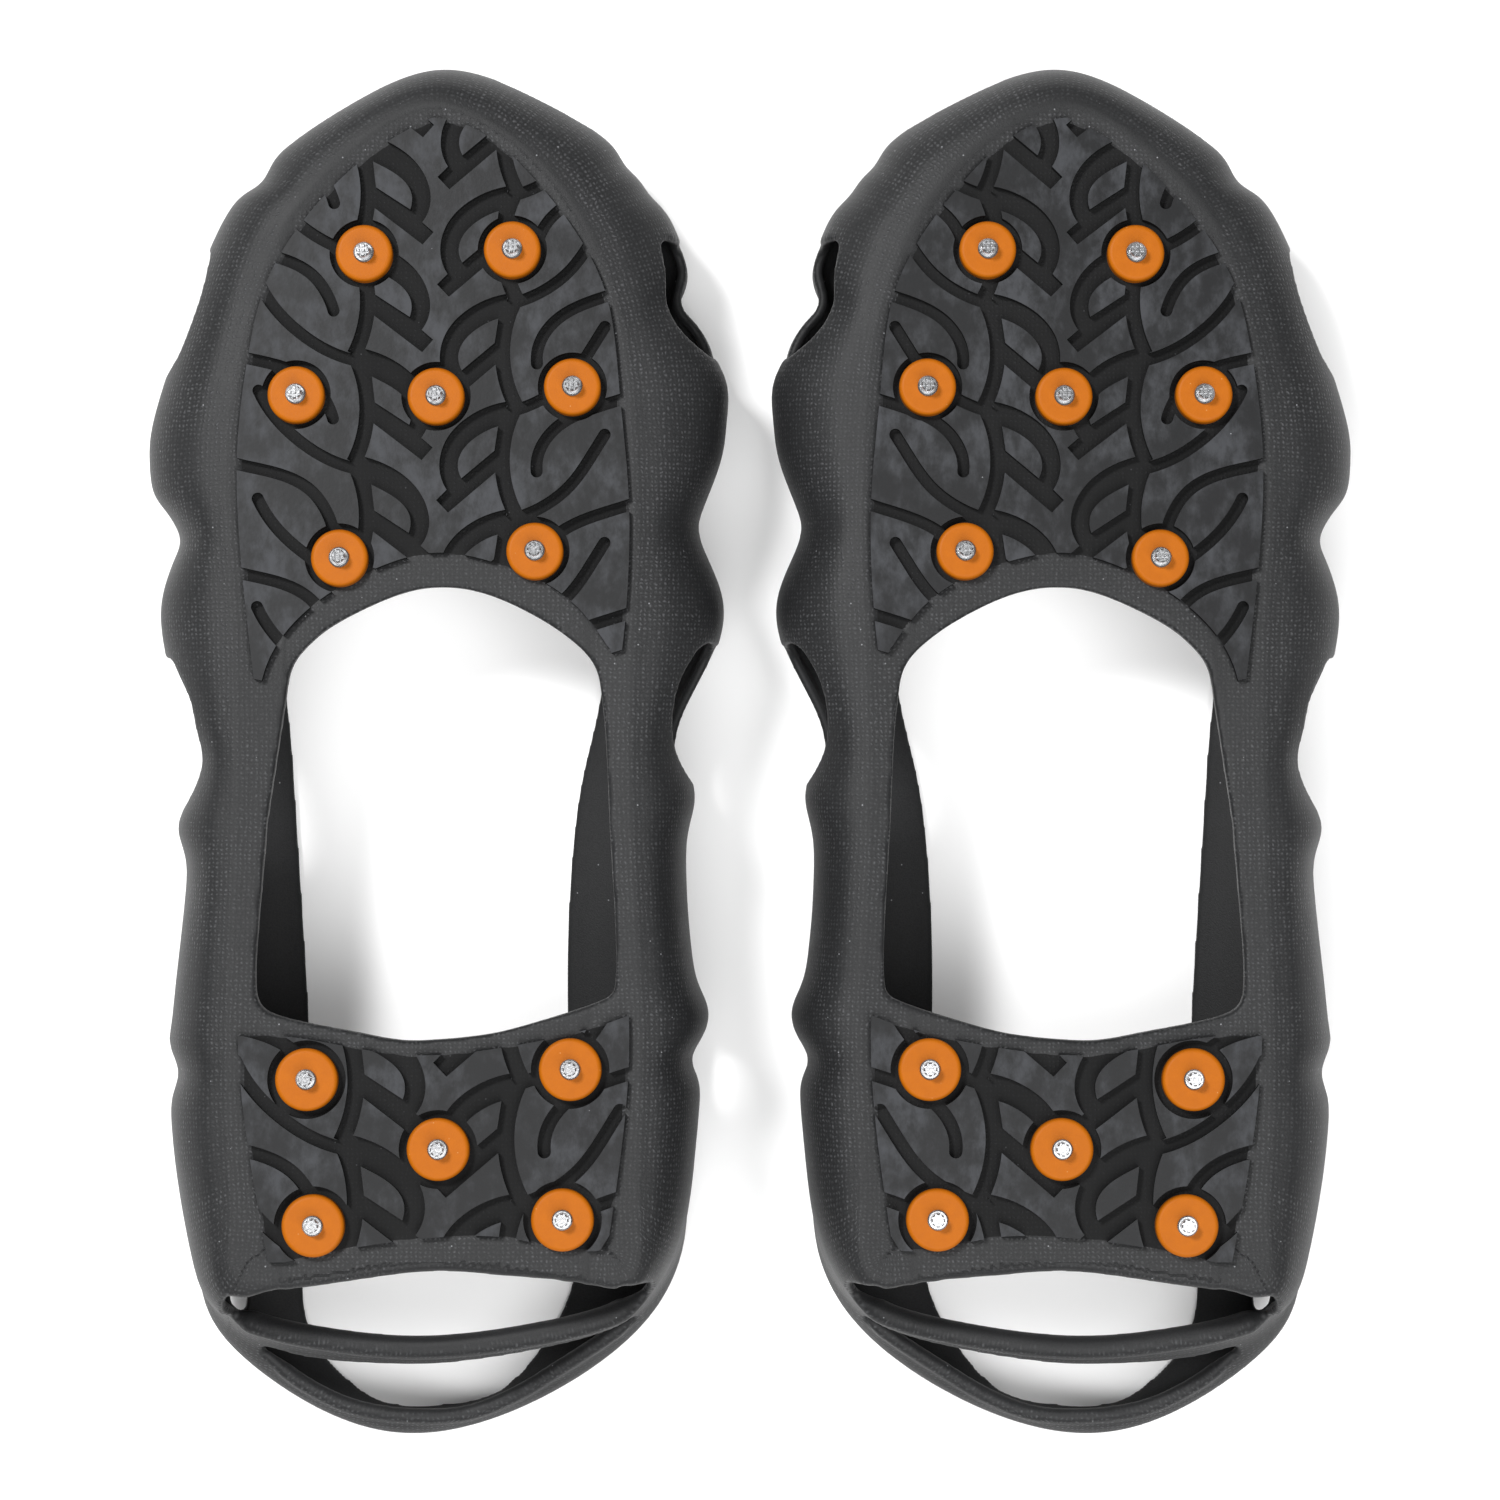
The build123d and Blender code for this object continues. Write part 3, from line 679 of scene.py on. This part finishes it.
class Shader:
    """A node material with a few short words for building it."""

    def __init__(self, name):
        self.material = bpy.data.materials.get(name) or bpy.data.materials.new(name)
        self.material.use_nodes = True
        self.tree = self.material.node_tree
        self.tree.nodes.clear()
        self.surface = self.tree.nodes.new("ShaderNodeBsdfPrincipled")
        output = self.tree.nodes.new("ShaderNodeOutputMaterial")
        self.tree.links.new(self.surface.outputs[0], output.inputs[0])

    def put(self, socket, value):
        """Link a socket to another, or set its value."""
        if isinstance(value, bpy.types.NodeSocket):
            self.tree.links.new(value, socket)
        else:
            socket.default_value = value

    def node(self, kind, values, out=0, **settings):
        """A new node with its inputs filled in; gives back one of its outputs."""
        made = self.tree.nodes.new("ShaderNode" + kind)
        for key, value in settings.items():
            setattr(made, key, value)
        for key, value in values.items():
            self.put(made.inputs[key], value)
        return made.outputs[out]

    def split(self, vector):
        """The three parts of a vector."""
        made = self.tree.nodes.new("ShaderNodeSeparateXYZ")
        self.put(made.inputs[0], vector)
        return made.outputs

    def object_mm(self):
        """The piece's own coordinates, in mm."""
        return self.vector("MULTIPLY", self.node("TexCoord", {}, 3), (1 / MM, 1 / MM, 1 / MM))

    def math(self, operation, *values):
        return self.node("Math", dict(enumerate(values)), operation=operation)

    def vector(self, operation, *values):
        return self.node("VectorMath", dict(enumerate(values)), operation=operation)

    def noise(self, where, scale, detail=3.0, roughness=0.55):
        values = {"Vector": where, "Scale": scale, "Detail": detail, "Roughness": roughness}
        return self.node("TexNoise", values)

    def ramp(self, value, low, high, to_low=0.0, to_high=1.0):
        values = {0: value, 1: low, 2: high, 3: to_low, 4: to_high}
        return self.node("MapRange", values, interpolation_type="SMOOTHSTEP")

    def mix(self, share, a, b):
        """A colour between two others."""
        made = self.tree.nodes.new("ShaderNodeMix")
        made.data_type = "RGBA"
        self.put(made.inputs[0], share)
        self.put(made.inputs[6], a)
        self.put(made.inputs[7], b)
        return made.outputs[2]

    def bump(self, height_mm, strength=1.0):
        values = {"Height": height_mm, "Distance": MM, "Strength": strength}
        self.put(self.surface.inputs["Normal"], self.node("Bump", values))

    def set(self, **values):
        for key, value in values.items():
            self.put(self.surface.inputs[key.replace("_", " ")], value)


def gray(value, blue=1.0):
    """A near black grey, a little bluish."""
    return (value, value * (1 + 0.02 * blue), value * (1 + 0.07 * blue), 1.0)


RUBBER_SPECULAR = 0.2
PLASTIC_SPECULAR = 0.13
ALONG_PITCH = 0.86
ACROSS_PITCH = 0.92
PAD_TOP = (0.52, 0.66)   # mm over the web where the ground goes over to the lugs' sides, which are painted near black as shade
LUG_TOP = (2.3, 2.46)    # mm over the web where the sides go over to their tops


def moulded_dots(shader, where):
    """Rows of tiny raised dots of uneven height, as a moulded fabric print leaves them; where is in mm."""
    cloud = shader.node("TexNoise", {"Vector": where, "Scale": 0.8, "Detail": 3.0}, 1)
    wobble = shader.vector("SUBTRACT", cloud, (0.5, 0.5, 0.5))
    bent = shader.vector("ADD", where, shader.vector("MULTIPLY", wobble, (1.1, 1.1, 0.0)))
    waves = []
    for part, pitch in zip(shader.split(bent), (ALONG_PITCH, ACROSS_PITCH)):
        turn = shader.math("MULTIPLY", part, 2 * math.pi / pitch)
        waves.append(shader.math("MULTIPLY_ADD", shader.math("SINE", turn), 0.5, 0.5))
    dots = shader.math("POWER", shader.math("MULTIPLY", waves[0], waves[1]), 1.4)
    uneven = shader.ramp(shader.noise(where, 1.1, 1.0), 0.36, 0.64, 0.15, 1.0)
    patches = shader.ramp(shader.noise(where, 0.07, 3.0), 0.38, 0.62, 0.4, 1.0)
    return shader.math("MULTIPLY", dots, shader.math("MULTIPLY", uneven, patches))


def specks(shader, where, pitch, share, radius):
    """Sparse small specks; where, pitch and radius are in mm."""
    cells = shader.tree.nodes.new("ShaderNodeTexVoronoi")
    shader.put(cells.inputs["Vector"], where)
    cells.inputs["Scale"].default_value = 1.0 / pitch
    dust = shader.ramp(cells.outputs["Distance"], radius / pitch, 0.5 * radius / pitch)
    chosen = shader.node("SeparateColor", {0: cells.outputs["Color"]})
    return shader.math("MULTIPLY", dust, shader.math("LESS_THAN", chosen, share))


def dotted_rubber(shader, where, print_at, outside=1.0):
    """Colour, roughness and relief of the black rubber that carries the dots."""
    dots = shader.math("MULTIPLY", moulded_dots(shader, print_at), outside)
    clouds = shader.noise(where, 0.045, 4.0, 0.6)
    grain = shader.noise(where, 3.2, 2.0, 0.7)
    dust = specks(shader, where, 2.2, 0.22, 0.19)
    colour = shader.mix(clouds, gray(0.013), gray(0.022))
    colour = shader.mix(shader.ramp(grain, 0.3, 0.75, 0.0, 0.5), colour, gray(0.004))
    colour = shader.mix(shader.math("MULTIPLY", dots, 0.8), colour, gray(0.075))
    colour = shader.mix(shader.math("MULTIPLY", dust, 0.8), colour, gray(0.22))
    roughness = shader.math("MULTIPLY_ADD", clouds, 0.2, 0.42)
    relief = shader.math("ADD", shader.math("MULTIPLY", dots, 0.11), shader.math("MULTIPLY", grain, 0.05))
    return colour, roughness, relief


def harness_rubber():
    shader = Shader("harness_rubber")
    where = shader.node("Attribute", {}, 1, attribute_name="rest_mm")
    print_at = shader.node("Attribute", {}, 1, attribute_name="weave_mm")
    outside = shader.node("Attribute", {}, 2, attribute_name="outside")
    colour, roughness, relief = dotted_rubber(shader, where, print_at, outside)
    shader.set(Base_Color=colour, Roughness=roughness, Specular_IOR_Level=RUBBER_SPECULAR)
    shader.bump(relief)
    return shader.material


def sole_coordinates(shader):
    """Object coordinates in mm, and the height over the web's outer face."""
    place_mm = shader.object_mm()
    y, z = shader.split(place_mm)[1:3]
    rise = shader.math("MULTIPLY_ADD", shader.math("SUBTRACT", y, SHIFT_Y), SLOPE, z)
    return place_mm, shader.math("SUBTRACT", rise, SOLE_Z)


def tread_rubber():
    """Smooth lug tops over dotted ground, with painted shade on the ground and on the lugs' sides."""
    shader = Shader("tread_rubber")
    where, height = sole_coordinates(shader)
    dotted, ground_roughness, ground_relief = dotted_rubber(shader, where, where)
    # The dotted ground is painted much darker, as painted shade between the lugs.
    shaded_ground = shader.mix(0.85, dotted, gray(0.0015))
    clouds = shader.noise(where, 0.07, 4.0, 0.6)
    stretched = shader.vector("MULTIPLY", where, (1.0, 0.55, 1.0))
    rubs = shader.noise(stretched, 0.3, 6.0, 0.7)
    scuffs = shader.ramp(shader.math("MULTIPLY", clouds, rubs), 0.18, 0.40)
    top = shader.mix(scuffs, gray(0.008, 2.0), gray(0.034, 2.4))
    top = shader.mix(shader.math("MULTIPLY", specks(shader, where, 3.4, 0.12, 0.15), 0.8), top, gray(0.25))
    top_roughness = shader.math("MULTIPLY_ADD", scuffs, 0.14, 0.44)
    top_relief = shader.math("MULTIPLY", shader.noise(where, 1.6, 3.0), 0.02)
    on_top = shader.ramp(height, *LUG_TOP)
    # The lugs' sides are painted near black as their shade; on the bevelled edges this shows as a dark
    # outline round each lug.
    side = shader.mix(shader.ramp(height, *PAD_TOP), shaded_ground, gray(0.003))
    shader.set(Base_Color=shader.mix(on_top, side, top), Specular_IOR_Level=RUBBER_SPECULAR)
    matt = shader.math("ADD", ground_roughness, 0.25)
    shader.set(Roughness=shader.node("Mix", {0: on_top, 2: matt, 3: top_roughness}))
    shader.bump(shader.node("Mix", {0: on_top, 2: ground_relief, 3: top_relief}))
    return shader.material


def stud_plastic():
    shader = Shader("stud_plastic")
    where = shader.object_mm()
    clouds = shader.noise(where, 0.5, 3.0)
    colour = shader.mix(clouds, (0.30, 0.076, 0.0008, 1), (0.36, 0.096, 0.0015, 1))
    dust = shader.math("MULTIPLY", specks(shader, where, 1.5, 0.2, 0.14), 0.5)
    colour = shader.mix(dust, colour, (0.55, 0.3, 0.12, 1))
    shader.set(Base_Color=colour, Roughness=shader.math("MULTIPLY_ADD", clouds, 0.15, 0.42))
    shader.set(Specular_IOR_Level=PLASTIC_SPECULAR)
    shader.bump(shader.math("MULTIPLY", shader.noise(where, 2.5, 3.0), 0.03))
    return shader.material


def stud_steel():
    shader = Shader("stud_steel")
    where = shader.object_mm()
    turned = shader.noise(shader.vector("MULTIPLY", where, (1.0, 1.0, 9.0)), 2.0, 3.0)
    shader.set(Base_Color=shader.mix(turned, (0.30, 0.31, 0.32, 1), (0.52, 0.52, 0.53, 1)), Metallic=1.0)
    shader.set(Roughness=shader.math("MULTIPLY_ADD", turned, 0.25, 0.14))
    shader.bump(shader.math("MULTIPLY", turned, 0.02))
    return shader.material


LUG_WEAR = 0.4
LUG_WEAR_ANGLE = 50
rubber = harness_rubber()
slot_materials = {"tread": tread_rubber(), "base": stud_plastic(), "pin": stud_steel()}
for name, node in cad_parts.items():
    kind = name.rsplit("_", 1)[1]
    if kind in slot_materials:
        node.data.materials.clear()
        node.data.materials.append(slot_materials[kind])
    if kind == "tread":
        edges = node.modifiers.new("worn edges", "BEVEL")
        edges.width = LUG_WEAR * MM
        edges.segments = 2
        edges.limit_method = "ANGLE"
        edges.angle_limit = math.radians(LUG_WEAR_ANGLE)
        edges.harden_normals = True

# The right harness is the left one's mirror image. Each takes the place of its cleat's harness and rail
# parts, which are hidden
shell.data.polygons.foreach_set("use_smooth", [True] * len(shell.data.polygons))
right_mesh = shell.data.copy()
place(shell.data, False)
place(right_mesh, True)
shell.name = "left_harness"
right = new_object("right_harness", right_mesh)
for side, obj in (("left", shell), ("right", right)):
    obj.data.materials.clear()
    obj.data.materials.append(rubber)
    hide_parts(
        f"{side}_forefoot_harness",
        f"{side}_outer_rail",
        f"{side}_inner_rail",
        f"{side}_heel_harness",
    )
    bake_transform(obj)

# ---------------------------------------------------------------- floor and lights
FLOOR_HALF = 3
FLOOR_WHITE = 0.95
FLOOR_GLOW = 0.06
floor_corners = [(x * FLOOR_HALF, y * FLOOR_HALF, 0) for x, y in ((-1, -1), (1, -1), (1, 1), (-1, 1))]
floor_mesh = bpy.data.meshes.new("floor")
floor_mesh.from_pydata(floor_corners, [], [(0, 1, 2, 3)])
floor = new_object("floor", floor_mesh)
floor_shader = Shader("floor")
floor_shader.set(Base_Color=(FLOOR_WHITE, FLOOR_WHITE, FLOOR_WHITE, 1), Emission_Color=(1, 1, 1, 1))
floor_shader.set(Emission_Strength=FLOOR_GLOW)
floor_mesh.materials.append(floor_shader.material)

WORLD_LIGHT = 0.25
world = bpy.data.worlds.new("world")
bpy.context.scene.world = world
world.use_nodes = True
background = world.node_tree.nodes["Background"]
background.inputs["Color"].default_value = (1, 1, 1, 1)
background.inputs["Strength"].default_value = WORLD_LIGHT
bpy.context.scene.view_settings.view_transform = "Standard"
bpy.context.scene.view_settings.look = "None"


def area_light(name, location, size, power):
    """A square soft light aimed at the middle of the pair."""
    data = bpy.data.lights.new(name, "AREA")
    data.shape = "SQUARE"
    data.size = size
    data.energy = power
    obj = bpy.data.objects.new(name, data)
    bpy.context.collection.objects.link(obj)
    obj.location = location
    obj.rotation_euler = (-Vector(location)).to_track_quat("-Z", "Y").to_euler()


area_light("key", location=(-0.62, 0.62, 1.32), size=0.30, power=25)
area_light("overhead", location=(0.25, -0.65, 1.45), size=1.5, power=34)
